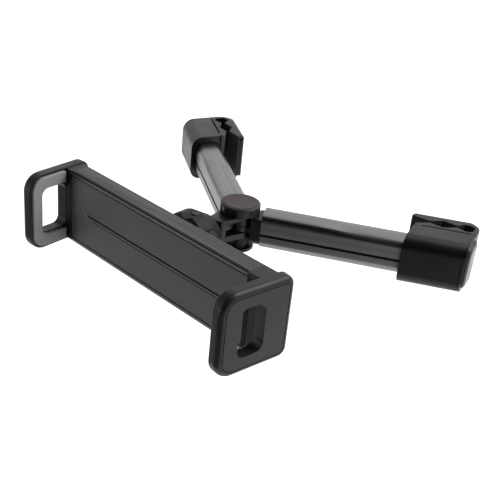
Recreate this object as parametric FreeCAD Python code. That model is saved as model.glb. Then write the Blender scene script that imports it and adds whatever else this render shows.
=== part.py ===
"""Headrest tablet mount: two V arms with hook clamps, a pivot, a ball joint and a sprung cradle.

Millimetres. +X runs along the cradle, +Y to the headrest, +Z up the headrest posts.
Shapes are built about the pivot bolt's axis, then moved so that the origin lies
midway between the two post pockets, at the arms' mid-height.
"""
import os
import FreeCAD
import Part
from math import acos, cos, pi, radians, sin, sqrt, tan

V = FreeCAD.Vector
X, Y, Z = V(1, 0, 0), V(0, 1, 0), V(0, 0, 1)
FREE = 0.3             # air between rounded faces of pieces that move apart
PIN_FIT = 0.05         # radial running clearance of a bolt or pin
FUSE_TOLERANCE = 0.0001

# Arms, measured along each arm (t), to its front side (s) and up (z)
HALF_ANGLE = 58.0      # each arm from the line that points at the headrest
TUBE_W, TUBE_H, TUBE_R = 22.0, 28.0, 6.0
TUBE_WALL = 1.6
TUBE_START, TUBE_END = 19.5, 139.5
GROOVE_Z, GROOVE_W, GROOVE_DEEP = -2.2, 1.5, 0.7
BAR_GAP = 0.4          # inner bar to tube, each side
BAR_WALL = 1.5
BAR_START = 42.0
BAR_TRAVEL = 60.0
SHOE_L, SHOE_GAP = 8.0, 0.15
LUG_R = 11.0
COLLAR_NEAR, COLLAR_FAR = 11.0, 15.5   # the collar's inner end, on its front and rear side
COLLAR_STEP = 1.2      # collar is this much smaller than the tube, each side
PLUG_L, PLUG_GAP = 14.0, 0.1

# Hook clamps, in arm coordinates
CLAMP_START, CLAMP_L = 131.0, 47.0     # on the arm's middle line; both ends are skewed
CLAMP_SKEW = 14.0
CLAMP_FRONT, CLAMP_REAR = 15.5, -33.5
CLAMP_H = 40.0
CLAMP_FRONT_R, CLAMP_REAR_R, CLAMP_CORNER_R = 10.0, 2.2, 13.0
MOUTH_R = 3.0          # the block's corner at the channel's mouth
HOOK_TIP_R = 4.5       # upper and lower corner of the hook's free end
CHANNEL_FRONT, CHANNEL_REAR = -12.5, -29.0
CHANNEL_END = CLAMP_L + 1.0            # from the clamp's start, in the channel's middle
TUBE_SOCKET_GAP = 0.4
BAR_SEAT_END = CLAMP_L - 8.0
SLIT_W, SLIT_DEEP = 1.6, 5.0
SLIT_FROM, SLIT_TO = 8.0, CLAMP_L - 2.0
END_CAP_T, END_CAP_RIM = 1.6, 2.2
END_CAP_DOME = ((0.4, 0.0), (0.7, 1.0), (1.6, 1.9), (3.4, 2.6))    # inset, then height
LID_SEAM, LID_SEAM_W, LID_SEAM_DEEP = 1.6, 0.6, 0.3
# toothed rubber: share of the channel's length, then half the gap between the rows
TEETH = ((0.0, 7.2), (0.29, 1.6), (0.51, 6.3), (0.73, 1.6), (0.845, 6.0), (0.925, 6.0), (1.06, 2.5))
TOOTH_R = 0.8
POCKET = 0.51 * CHANNEL_END
CHANNEL_MID = (CHANNEL_FRONT + CHANNEL_REAR) / 2

# Pivot stack, heights from the arms' mid-height
BOLT_R = 4.0
LOW_LUG = (-8.2, -3.6)
WASHER_T = 0.6
ARM_LUG_T = 4.4
TOP_LUG_T = 3.2
FORK_R = 11.5
FORK_WEB = (-27.0, -21.0)
FORK_HALF_W, FORK_ROUND = 7.0, 3.5
FORK_GAP = 0.6
CAP_R, CAP_T, CAP_ROUND = 15.7, 7.8, 1.6
CAP_GRIPS, CAP_GRIP_R, CAP_GRIP_AT = 8, 7.0, 21.3
NUT_R, NUT_BODY_R, NUT_T, NUT_FLANGE = 13.0, 10.8, 12.3, 3.0
NUT_GRIPS, NUT_GRIP_R, NUT_GRIP_AT = 6, 3.0, 12.4

# Ball joint behind the cradle
BALL_Y, BALL_R = -47.0, 12.0
LINER_T = 1.6
CUP_WALL = 1.8
CUP_MOUTH = 6.0        # the cup ends this far behind the ball's centre
NECK_R, NECK_FOOT, NECK_FOOT_L = 5.5, 2.0, 1.5
LINER_SPLIT, LINER_LAP = 8.0, 1.0
RING_PROFILE = ((-60.0, 20.0), (-56.5, 22.6), (-46.0, 23.0), (-36.5, 17.6), (-34.0, 16.4))
RING_THROAT = 11.9
RING_GRIPS, GRIP_R, GRIP_AT = 6, 8.0, 28.5
BASE_R, BASE_T, BASE_EDGE = 21.0, 3.0, 0.6
SCREW_AT, SCREW_R, SCREW_HEAD_R, SCREW_HEAD_T = 18.3, 1.2, 2.0, 0.9

# Cradle
BALL_TO_BACK = 26.5
BODY_L, BODY_D, BODY_H, BODY_R = 190.0, 16.5, 60.0, 1.2
FRONT = BALL_Y - BALL_TO_BACK - BODY_D     # the face that the tablet's back rests on
BACK = FRONT + BODY_D
BODY_WALL, BACK_R = 2.0, 1.0
LIP_T, LIP_H = 1.6, 3.0
LINE_FROM, LINE_W, LINE_DEEP = 1.5, 1.0, 0.6   # the groove along the top and bottom
PANEL_BACK, PANEL_FRONT, PANEL_SINK = 3.4, 1.6, 0.5
PANEL_EDGE = 0.3
SLOT_W = 1.4
SLOT_FROM, SLOT_TO = -BODY_L / 2 + 18.2, BODY_L / 2 - 7
PANEL_LINES, PANEL_LINE_W, PANEL_LINE_DEEP = (1.2, 3.0, 4.8), 0.5, 0.3
TRACK_FROM, TRACK_LOW, TRACK_HIGH, TRACK_DEEP = SLOT_FROM + 9, -3.2, -1.5, 0.4
LEFT_BASE, RIGHT_BASE = 16.5, 21.0
RIDGES = (1.2, 3.2)    # grooves in the jaws' bases, from the body's end
RIDGE_W, RIDGE_DEEP = 1.0, 0.6
PLATE_T, PLATE_LEAN = 9.5, 6.0
PLATE_REACH, PLATE_TAIL = {1: 38.5, -1: 36.5}, 22.0
PLATE_OVER = 1.2       # the plates stand this much above and below the cradle
PLATE_TIP_R, PLATE_TAIL_R = 13.5, 7.5
PLATE_OUT_ROUND, PLATE_IN_ROUND = 4.0, 1.0
WEDGE_IN, WEDGE_OUT, WEDGE_T, WEDGE_EDGE = 6.0, 3.0, 1.4, 9.0
WINDOW_NEAR, WINDOW_FAR = 1.5, {1: 22.8, -1: 25.0}     # ends of the window, in front of the rest face
WINDOW_H, WINDOW_R = 37.0, 6.0
ROOT_R, ROOT_IN = 2.0, 1.0
PAD_T, PAD_PROUD, PAD_EDGE, PAD_ROUND = 2.6, 1.8, 2.4, 0.8
PAD_GAP = 0.8          # groove round the pad
PAD_ROOT = 2.2         # the pad stops this far in front of the rest face
TONGUE_GAP = 0.5
TONGUE_T, TONGUE_H = 3.0, BODY_H - 2 * BODY_WALL - 2 * TONGUE_GAP
TONGUE_FROM_FRONT = 5.4
RAIL_T, RAIL_H, RAIL_GAP = 1.3, 4.0, 0.3
PLUG_IN, PLUG_H = 9.0, BODY_H - 2 * (BODY_WALL + RAIL_H + TONGUE_GAP)
PLUG_R, PLUG_ROOT = 0.8, 1.0
TONGUE_END = -BODY_L / 2 + PLUG_IN + 2
TONGUE_WINDOW_Z, TONGUE_WINDOW_H = TONGUE_H / 2 - 13.5, 13.0
STOP_PIN_R = 0.55
STOP_PIN_X, STOP_PIN_SINK = SLOT_FROM + 0.9, 0.2
JAW_TRAVEL = 72.0
SPRING_ANCHOR_X, SPRING_HOOK_X = 0.0, BODY_L / 2 - 15
SPRING_R, WIRE_R, COIL_PITCH = 2.1, 0.5, 3.0
COIL_START, COIL_END = 5.0, 4.5        # plain wire between each hook and the coils
POST_R, ROD_R, EYE_GAP = 1.6, 1.2, 0.15

# Derived heights of the pivot stack, from the bottom up
RIGHT_LUG = (LOW_LUG[1] + WASHER_T, LOW_LUG[1] + WASHER_T + ARM_LUG_T)
LEFT_LUG = (RIGHT_LUG[1] + WASHER_T, RIGHT_LUG[1] + WASHER_T + ARM_LUG_T)
TOP_LUG = (LEFT_LUG[1] + WASHER_T, LEFT_LUG[1] + WASHER_T + TOP_LUG_T)
CAP_Z = TOP_LUG[1]
POCKET_T = CLAMP_START + POCKET
ORIGIN_Y = POCKET_T * cos(radians(HALF_ANGLE)) - CHANNEL_MID * sin(radians(HALF_ANGLE))
TONGUE_Y = FRONT + TONGUE_FROM_FRONT
SPRING_Y = TONGUE_Y + TONGUE_T / 2


def box(x0, x1, y0, y1, z0, z1):
    """A box between two corners."""
    return Part.makeBox(x1 - x0, y1 - y0, z1 - z0, V(x0, y0, z0))


def rounded(w0, w1, h0, h1, radii):
    """Rounded rectangle as (points, arcs) in a plane; radii go round from (w1, h1)."""
    corners = ((w1, h1, -1, -1), (w0, h1, 1, -1), (w0, h0, 1, 1), (w1, h0, -1, 1))
    edges = []
    ends = []
    for number, (cw, ch, dw, dh) in enumerate(corners):
        r = radii[number]
        mid = r * (1 - sqrt(0.5))
        along = ((cw, ch + dh * r), (cw + dw * mid, ch + dh * mid), (cw + dw * r, ch))
        if number % 2:
            along = along[::-1]
        ends.append(along)
    for number, along in enumerate(ends):
        edges.append(("arc", along))
        edges.append(("line", (along[2], ends[(number + 1) % 4][0])))
    return edges


def face_of(edges, place):
    """A planar face from 2-D edges, each point sent to space by place(a, b)."""
    made = []
    for kind, pts in edges:
        at = [place(*p) for p in pts]
        if kind == "arc":
            made.append(Part.Arc(*at).toShape())
        elif (at[1] - at[0]).Length > 1e-6:
            made.append(Part.makeLine(*at))
    return Part.Face(Part.Wire(Part.__sortEdges__(made)))


def bar_x(y0, y1, z0, z1, radii, x0, x1):
    """A rounded bar along X; radii go round from (y1, z1)."""
    face = face_of(rounded(y0, y1, z0, z1, radii), lambda a, b: V(x0, a, b))
    return face.extrude(X * (x1 - x0))


def bar_t(s0, s1, z0, z1, radii, t0, t1):
    """A rounded bar along an arm, in arm coordinates (t along X, s along -Y)."""
    face = face_of(rounded(s0, s1, z0, z1, radii), lambda a, b: V(t0, -a, b))
    return face.extrude(X * (t1 - t0))


def tube_t(w, h, r, t0, t1):
    """A centred rounded bar along an arm."""
    return bar_t(-w / 2, w / 2, -h / 2, h / 2, (r,) * 4, t0, t1)


def disc_z(r, z0, z1, x=0.0, y=0.0):
    """A round disc with a vertical axis."""
    return Part.makeCylinder(r, z1 - z0, V(x, y, z0), Z)


def disc_y(r, y0, y1, x=0.0, z=0.0):
    """A round disc whose axis runs to the headrest."""
    return Part.makeCylinder(r, y1 - y0, V(x, y0, z), Y)


def ball(r):
    """A sphere about the ball joint's centre, with its poles on the cradle's axis."""
    return Part.makeSphere(r, V(0, BALL_Y, 0), Y)


def prism(points, z0, z1):
    """A straight-sided prism over plan points."""
    wire = Part.makePolygon([V(px, py, z0) for px, py in points] + [V(points[0][0], points[0][1], z0)])
    return Part.Face(wire).extrude(Z * (z1 - z0))


def turned(profile, start, axis):
    """A solid of revolution about the line through start along axis."""
    wire = Part.makePolygon([V(*p) for p in profile] + [V(*profile[0])])
    solid = Part.Face(wire).revolve(start, axis, 360)
    if solid.Volume < 0:
        solid.reverse()
    return solid


def edges_at(shape, test):
    """Edges whose every corner passes the test."""
    return [e for e in shape.Edges if all(test(v.Point) for v in e.Vertexes)]


def on_arm(shape, side):
    """Turn an arm-coordinate shape to its place; side is 1 on the right, -1 on the left."""
    out = shape.copy()
    if side < 0:
        out = out.mirror(V(0, 0, 0), Y)
    out.rotate(V(0, 0, 0), Z, 90 - side * HALF_ANGLE)
    return out


def save(name, shape):
    """Move a shape to the row frame and write it."""
    out = shape.removeSplitter() if shape.ShapeType != "Compound" else shape
    out = out.copy()
    out.translate(V(0, -ORIGIN_Y, 0))
    out.exportStep(os.path.join("parts", name + ".step"))


def knuckle(lug):
    """End fitting of an arm: a flat eye for the bolt, a collar and a plug inside the tube."""
    z0, z1 = lug
    w, h = TUBE_W - 2 * COLLAR_STEP, TUBE_H - 2 * COLLAR_STEP
    collar = tube_t(w, h, TUBE_R - COLLAR_STEP, COLLAR_NEAR, TUBE_START)
    collar = collar.cut(prism(((0, -w), (COLLAR_NEAR, -w), (COLLAR_NEAR, -w / 2), (COLLAR_FAR, w / 2), (COLLAR_FAR, w),
                               (0, w)), -h, h))
    collar = collar.cut(disc_z(FORK_R + FORK_GAP, -h, h)).Solids[0]
    grow = PLUG_GAP + TUBE_WALL
    plug = tube_t(TUBE_W - 2 * grow, TUBE_H - 2 * grow, TUBE_R - grow, TUBE_START, TUBE_START + PLUG_L)
    eye = disc_z(LUG_R, z0, z1).fuse(box(0, COLLAR_FAR + 1, -w / 2 + COLLAR_STEP, w / 2 - COLLAR_STEP, z0, z1))
    solid = collar.fuse(plug).fuse(eye)
    solid = solid.cut(box(0, TUBE_START + PLUG_L + 1, -w, w, CAP_Z - FORK_GAP, h))
    return solid.cut(disc_z(BOLT_R + PIN_FIT, z0 - 1, z1 + 1))


def outer_tube():
    """Extruded arm tube with a groove along each side."""
    outer = tube_t(TUBE_W, TUBE_H, TUBE_R, TUBE_START, TUBE_END)
    inner = tube_t(TUBE_W - 2 * TUBE_WALL, TUBE_H - 2 * TUBE_WALL, TUBE_R - TUBE_WALL, TUBE_START, TUBE_END)
    solid = outer.cut(inner)
    for side in (-1, 1):
        y = side * (TUBE_W / 2 - GROOVE_DEEP / 2)
        solid = solid.cut(box(TUBE_START, TUBE_END, y - GROOVE_DEEP / 2, y + GROOVE_DEEP / 2,
                              GROOVE_Z - GROOVE_W / 2, GROOVE_Z + GROOVE_W / 2))
    return solid


BAR_W = TUBE_W - 2 * (TUBE_WALL + BAR_GAP)
BAR_H = TUBE_H - 2 * (TUBE_WALL + BAR_GAP)
BAR_R = TUBE_R - TUBE_WALL - BAR_GAP


def inner_bar():
    """The hollow bar that draws out of the tube and carries the clamp."""
    end = CLAMP_START + BAR_SEAT_END
    outer = tube_t(BAR_W, BAR_H, BAR_R, BAR_START, end)
    inner = tube_t(BAR_W - 2 * BAR_WALL, BAR_H - 2 * BAR_WALL, BAR_R - BAR_WALL, BAR_START, end)
    return outer.cut(inner)


def shoe():
    """Plastic shoe on the bar's inner end that slides in the tube."""
    grow = 2 * (BAR_GAP - SHOE_GAP)
    head = tube_t(BAR_W + grow, BAR_H + grow, BAR_R + grow / 2, BAR_START - SHOE_L / 2, BAR_START)
    stub = tube_t(BAR_W - 2 * BAR_WALL, BAR_H - 2 * BAR_WALL, BAR_R - BAR_WALL, BAR_START, BAR_START + SHOE_L)
    return head.fuse(stub)


def skewed(y):
    """Shift along the arm of a clamp's skewed end, at a plan place y behind the arm's middle."""
    return y * tan(radians(CLAMP_SKEW))


def turned_end(shape):
    """Turn a shape made at the clamp's outer end so that it lies on the skewed end."""
    out = shape.copy()
    out.rotate(V(CLAMP_START + CLAMP_L, 0, 0), Z, -CLAMP_SKEW)
    return out


def upright(shape, x, y):
    """The upright edge of a prism at a plan corner."""
    return [e for e in shape.Edges if len(e.Vertexes) == 2
            and all(abs(v.X - x) < 1e-4 and abs(v.Y - y) < 1e-4 for v in e.Vertexes)]


def clamp_plan():
    """Plan outline of the clamp as a prism: skewed block, hook wall and rounded outer corner."""
    half = CLAMP_H / 2
    t0, t1 = CLAMP_START, CLAMP_START + CLAMP_L
    front, rear, mouth = -CLAMP_FRONT, -CLAMP_REAR, -CHANNEL_FRONT
    points = ((t0 + skewed(front), front), (t1 + skewed(front), front), (t1 + skewed(rear), rear), (t0, rear),
              (t0, -CHANNEL_REAR - CLAMP_REAR_R), (t0 + skewed(mouth), mouth + CLAMP_REAR_R))
    solid = prism(points, -half, half)
    solid = solid.makeFillet(CLAMP_CORNER_R, upright(solid, *points[2]))
    return solid.makeFillet(CLAMP_REAR_R, upright(solid, *points[3]))


def channel_plan():
    """The open channel for the post as a prism, with a skewed end."""
    half = CLAMP_H / 2
    start, end = CLAMP_START - CLAMP_FRONT, CLAMP_START + CHANNEL_END
    low, high = -CHANNEL_FRONT, -CHANNEL_REAR
    middle = (low + high) / 2
    points = ((start, low), (end + skewed(low - middle), low), (end + skewed(high - middle), high), (start, high))
    solid = prism(points, -half, half)
    return solid.makeFillet(CLAMP_REAR_R, upright(solid, *points[1]) + upright(solid, *points[2]))


def clamp_housing():
    """Moulded block round the arm's end with a hook wall behind an open channel."""
    t0, t1 = CLAMP_START, CLAMP_START + CLAMP_L
    half = CLAMP_H / 2
    reach = CLAMP_FRONT
    section = bar_t(CLAMP_REAR, CLAMP_FRONT, -half, half,
                    (CLAMP_FRONT_R, CLAMP_REAR_R, CLAMP_REAR_R, CLAMP_FRONT_R), t0 - reach, t1 + reach)
    solid = clamp_plan().common(section).cut(channel_plan())
    mouth = prism(((t0, -CHANNEL_FRONT - MOUTH_R), (t0 + skewed(-CHANNEL_FRONT), -CHANNEL_FRONT + 1),
                   (t0 + skewed(-CHANNEL_FRONT) + MOUTH_R, -CHANNEL_FRONT + 1)), -half, half)
    solid = solid.cut(mouth)
    for z in (half - HOOK_TIP_R, HOOK_TIP_R - half):
        block = box(t0 - 1, t0 + HOOK_TIP_R, -CHANNEL_REAR - 1, -CLAMP_REAR + 1, min(z, z * 2), max(z, z * 2))
        solid = solid.cut(block.cut(disc_y(HOOK_TIP_R, -CHANNEL_REAR - 2, -CLAMP_REAR + 2, t0 + HOOK_TIP_R, z)))
    gap = 2 * TUBE_SOCKET_GAP
    solid = solid.cut(tube_t(TUBE_W + gap, TUBE_H + gap, TUBE_R + gap / 2, t0 - reach, TUBE_END + TUBE_SOCKET_GAP))
    solid = solid.cut(tube_t(BAR_W, BAR_H, BAR_R, t0, t0 + BAR_SEAT_END))
    slit = box(t0 + SLIT_FROM, t0 + SLIT_TO, -CHANNEL_FRONT - SLIT_W, -CHANNEL_FRONT, half - SLIT_DEEP, half)
    return solid.cut(slit).cut(lid_seam()).cut(end_cap_plate(END_CAP_T))


def lid_seam():
    """Narrow groove round the block, where the lid that carries the end cap begins."""
    t1 = CLAMP_START + CLAMP_L - LID_SEAM
    half = CLAMP_H / 2
    deep = LID_SEAM_DEEP
    front = CLAMP_FRONT / cos(radians(CLAMP_SKEW))
    r = CLAMP_FRONT_R - deep
    around = bar_t(CHANNEL_FRONT, front + 2, -half - 2, half + 2, (0.5,) * 4, t1 - LID_SEAM_W, t1)
    inside = bar_t(CHANNEL_REAR, front - deep, -half + deep, half - deep, (r, 1, 1, r), t1 - LID_SEAM_W, t1)
    return turned_end(around.cut(inside))


def end_cap_plate(depth):
    """The flat part of the clamp's end cap, sunk into its skewed outer face."""
    t1 = CLAMP_START + CLAMP_L
    half = CLAMP_H / 2 - END_CAP_RIM
    r = CLAMP_FRONT_R - END_CAP_RIM
    plate = bar_t(CHANNEL_FRONT + END_CAP_RIM, CLAMP_FRONT - END_CAP_RIM, -half, half, (r, 2.0, 2.0, r), t1 - depth, t1)
    return turned_end(plate)


def end_cap():
    """Glossy end cap with a dome."""
    t1 = CLAMP_START + CLAMP_L
    s0, s1 = CHANNEL_FRONT + END_CAP_RIM, CLAMP_FRONT - END_CAP_RIM
    half = CLAMP_H / 2 - END_CAP_RIM
    r = CLAMP_FRONT_R - END_CAP_RIM
    wires = []
    for inset, out in END_CAP_DOME:
        radii = (r - inset * 0.7, 1.8, 1.8, r - inset * 0.7)
        edges = rounded(s0 + inset, s1 - inset, -half + inset, half - inset, radii)
        wires.append(face_of(edges, lambda a, b, t=t1 + out: V(t, -a, b)).OuterWire)
    dome = Part.makeLoft(wires, True, True)
    return end_cap_plate(END_CAP_T).fuse(turned_end(dome))


def teeth(row):
    """Toothed rubber along one side of the channel; row is 1 for the front one, -1 for the rear."""
    half = CLAMP_H / 2
    wall = CHANNEL_FRONT if row > 0 else CHANNEL_REAR
    ends = [TEETH[0][0], TEETH[-1][0]]
    line = [(CLAMP_START + t * CHANNEL_END, -(CHANNEL_MID + row * gap)) for t, gap in TEETH]
    base = [(CLAMP_START + t * CHANNEL_END, -wall) for t in ends[::-1]]
    solid = prism(line + base, -half, half)
    sharp = [e for px, py in line[1:-1] for e in upright(solid, px, py)]
    solid = solid.makeFillet(TOOTH_R, sharp)
    return solid.common(clamp_plan()).common(channel_plan())


def gripped(r, z0, z1, count, notch_r, notch_at, rounding):
    """A round grip with scallops round its rim and a rounded top edge."""
    solid = disc_z(r, z0, z1)
    solid = solid.makeFillet(rounding, edges_at(solid, lambda p: abs(p.z - z1) < 1e-6))
    for k in range(count):
        a = 2 * pi * (k + 0.5) / count
        solid = solid.cut(disc_z(notch_r, z0, z1 - rounding - 0.4, notch_at * cos(a), notch_at * sin(a)))
    return solid


def pivot_cap():
    """Round grip on top of the pivot bolt."""
    solid = gripped(CAP_R, CAP_Z, CAP_Z + CAP_T, CAP_GRIPS, CAP_GRIP_R, CAP_GRIP_AT, CAP_ROUND)
    return solid.cut(disc_z(BOLT_R + PIN_FIT, CAP_Z, CAP_Z + CAP_T / 2))


def pivot_nut():
    """Lobed nut under the fork, with a flange at its foot."""
    z1 = LOW_LUG[0]
    foot = z1 - NUT_T
    solid = disc_z(NUT_R, foot, foot + NUT_FLANGE).fuse(disc_z(NUT_BODY_R, foot, z1))
    solid = solid.makeFillet(1.0, edges_at(solid, lambda p: abs(p.z - foot) < 1e-6))
    for k in range(NUT_GRIPS):
        a = 2 * pi * k / NUT_GRIPS
        solid = solid.cut(disc_z(NUT_GRIP_R, foot + NUT_FLANGE, z1, NUT_GRIP_AT * cos(a), NUT_GRIP_AT * sin(a)))
    return solid.cut(disc_z(BOLT_R + PIN_FIT, foot + NUT_FLANGE / 2, z1))


def pivot_bolt():
    """Plain bolt through the fork and both eyes."""
    return disc_z(BOLT_R, LOW_LUG[0] - NUT_T + NUT_FLANGE, CAP_Z + CAP_T / 2 - 0.2)


def fork_lug(z0, z1):
    """A flat lug of the fork: round about the bolt, with straight sides down to the web."""
    foot = FORK_WEB[1] - 2
    span = sqrt(FORK_HALF_W ** 2 + foot ** 2)
    touch = acos(FORK_R / span) - acos(FORK_HALF_W / span)
    side, low = FORK_R * cos(touch), FORK_R * sin(touch)
    return disc_z(FORK_R, z0, z1).fuse(prism(((-FORK_HALF_W, foot), (FORK_HALF_W, foot), (side, low), (-side, low)), z0, z1))


def ball_stem():
    """Ball, neck and the fork that holds the two arm eyes."""
    web0, web1 = FORK_WEB
    neck = disc_y(NECK_R, BALL_Y, web0 + 1)
    z0, z1 = LOW_LUG[0], TOP_LUG[1]
    collar = Part.makeCone(NECK_R, NECK_R + NECK_FOOT, NECK_FOOT_L, V(0, web0 - NECK_FOOT_L, 0), Y)
    edges = rounded(-FORK_HALF_W, FORK_HALF_W, web0, web1, (0.5, 0.5, FORK_ROUND, FORK_ROUND))
    web = face_of(edges, lambda a, b: V(a, b, z0)).extrude(Z * (z1 - z0))
    solid = ball(BALL_R).fuse(neck).fuse(collar).fuse(web)
    for a, b in (LOW_LUG, TOP_LUG):
        solid = solid.fuse(fork_lug(a, b))
    solid = solid.cut(disc_z(LUG_R + 1.5, LOW_LUG[1], TOP_LUG[0]))
    return solid.cut(disc_z(BOLT_R + PIN_FIT, z0 - 1, z1 + 1))


def shell_piece(y0, y1):
    """A slice of the hollow liner round the ball."""
    return ball(BALL_R + FREE + LINER_T).cut(ball(BALL_R + FREE)).common(disc_y(BALL_R * 2, y0, y1))


CUP_HOLLOW = BALL_R + LINER_T + 2 * FREE
CUP_R = CUP_HOLLOW + CUP_WALL


def ball_socket():
    """Round base on the cradle's back and the slotted cup that holds the ball."""
    mouth = BALL_Y + CUP_MOUTH
    base = disc_y(BASE_R, BACK, BACK + BASE_T)
    base = base.makeFillet(BASE_EDGE, edges_at(base, lambda p: abs(p.y - BACK - BASE_T) < 1e-6))
    solid = base.fuse(disc_y(CUP_R, BACK + BASE_T, mouth)).cut(ball(CUP_HOLLOW))
    for k in range(2):
        slot = box(-0.8, 0.8, BALL_Y - 4, mouth + 1, -CUP_R - 1, CUP_R + 1)
        slot.rotate(V(0, 0, 0), Y, 45 + 90 * k)
        solid = solid.cut(slot)
    for x, z in screw_places():
        solid = solid.cut(disc_y(SCREW_R, BACK, BACK + BASE_T, x, z))
    return solid


def screw_places():
    """Centres of the base's screws."""
    return [(SCREW_AT * cos(pi / 4 + pi / 2 * k), SCREW_AT * sin(pi / 4 + pi / 2 * k)) for k in range(4)]


def base_screws():
    """Screws that hold the base to the cradle's back wall."""
    out = []
    for x, z in screw_places():
        head = disc_y(SCREW_HEAD_R, BACK + BASE_T, BACK + BASE_T + SCREW_HEAD_T, x, z)
        cross = box(x - 1.4, x + 1.4, BACK + BASE_T + 0.3, BACK + BASE_T + SCREW_HEAD_T, z - 0.25, z + 0.25)
        out.append(head.cut(cross).fuse(disc_y(SCREW_R, BACK - BODY_WALL, BACK + BASE_T, x, z)))
    return Part.makeCompound(out)


def ring_nut():
    """Tapered, scalloped nut that squeezes the cup on the ball."""
    y0, y1 = RING_PROFILE[0][0], RING_PROFILE[-1][0]
    bore = CUP_R + FREE
    mouth = BALL_Y + CUP_MOUTH + 0.5
    pts = [(r, y, 0) for y, r in RING_PROFILE]
    pts += [(RING_THROAT, y1, 0), (RING_THROAT, y1 - 1.5, 0), (bore, mouth, 0), (bore, y0, 0)]
    solid = turned(pts, V(0, 0, 0), Y)
    for k in range(RING_GRIPS):
        a = 2 * pi * (k + 0.5) / RING_GRIPS
        solid = solid.cut(disc_y(GRIP_R, y0, y1, GRIP_AT * cos(a), GRIP_AT * sin(a)))
    return solid


def cradle_channel():
    """Extruded channel: open to the front between two lips, with posts for the springs."""
    half, hl = BODY_H / 2, BODY_L / 2
    solid = bar_x(FRONT, BACK, -half, half, (BODY_R, BACK_R, BACK_R, BODY_R), -hl, hl)
    solid = solid.cut(box(-hl, hl, FRONT + LIP_T, BACK - BODY_WALL, -half + BODY_WALL, half - BODY_WALL))
    solid = solid.cut(box(-hl, hl, FRONT, FRONT + LIP_T, -half + LIP_H, half - LIP_H))
    for z in (-half, half - LINE_DEEP):
        solid = solid.cut(box(-hl, hl, FRONT + LINE_FROM, FRONT + LINE_FROM + LINE_W, z, z + LINE_DEEP))
    for x, z in screw_places():
        solid = solid.cut(disc_y(SCREW_R, BACK - BODY_WALL, BACK, x, z))
    rail_low, rail_high = half - BODY_WALL - RAIL_H, half - BODY_WALL
    for side in (-1, 1):
        z = side * TONGUE_WINDOW_Z
        solid = solid.fuse(disc_y(POST_R, SPRING_Y - 1.5, BACK - BODY_WALL, SPRING_ANCHOR_X, z))
        z0, z1 = sorted((side * rail_low, side * rail_high))
        for y in (TONGUE_Y - RAIL_GAP - RAIL_T, TONGUE_Y + TONGUE_T + RAIL_GAP):
            solid = solid.fuse(box(-hl, hl, y, y + RAIL_T, z0, z1))
    return solid


def front_panel():
    """Black panel held behind the lips, with the narrow slot for the stop pin."""
    half, hl = BODY_H / 2, BODY_L / 2
    tile = box(-hl, hl, FRONT + PANEL_SINK, FRONT + PANEL_FRONT, -half + LIP_H + PANEL_EDGE, half - LIP_H - PANEL_EDGE)
    flange = box(-hl, hl, FRONT + PANEL_FRONT, FRONT + PANEL_BACK, -half + BODY_WALL, half - BODY_WALL)
    solid = tile.fuse(flange)
    slot = face_of(rounded(SLOT_FROM, SLOT_TO, -SLOT_W / 2, SLOT_W / 2, (SLOT_W / 2 - 0.01,) * 4),
                   lambda a, b: V(a, FRONT, b)).extrude(Y * (PANEL_BACK + 1))
    track = box(TRACK_FROM, SLOT_TO, FRONT, FRONT + PANEL_SINK + TRACK_DEEP, TRACK_LOW, TRACK_HIGH)
    solid = solid.cut(slot).cut(track)
    for x in PANEL_LINES:
        solid = solid.cut(box(x - hl, x - hl + PANEL_LINE_W, FRONT, FRONT + PANEL_SINK + PANEL_LINE_DEEP, -half, half))
    return solid


def plate_frame(side):
    """X of the plate's outer face at the rest face, and a function that leans a plate shape."""
    base = RIGHT_BASE if side > 0 else LEFT_BASE
    outer = BODY_L / 2 + base

    def lean(shape):
        out = shape.copy()
        out.rotate(V(outer, FRONT, 0), Z, -PLATE_LEAN)
        return out
    return outer, lean


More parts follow.
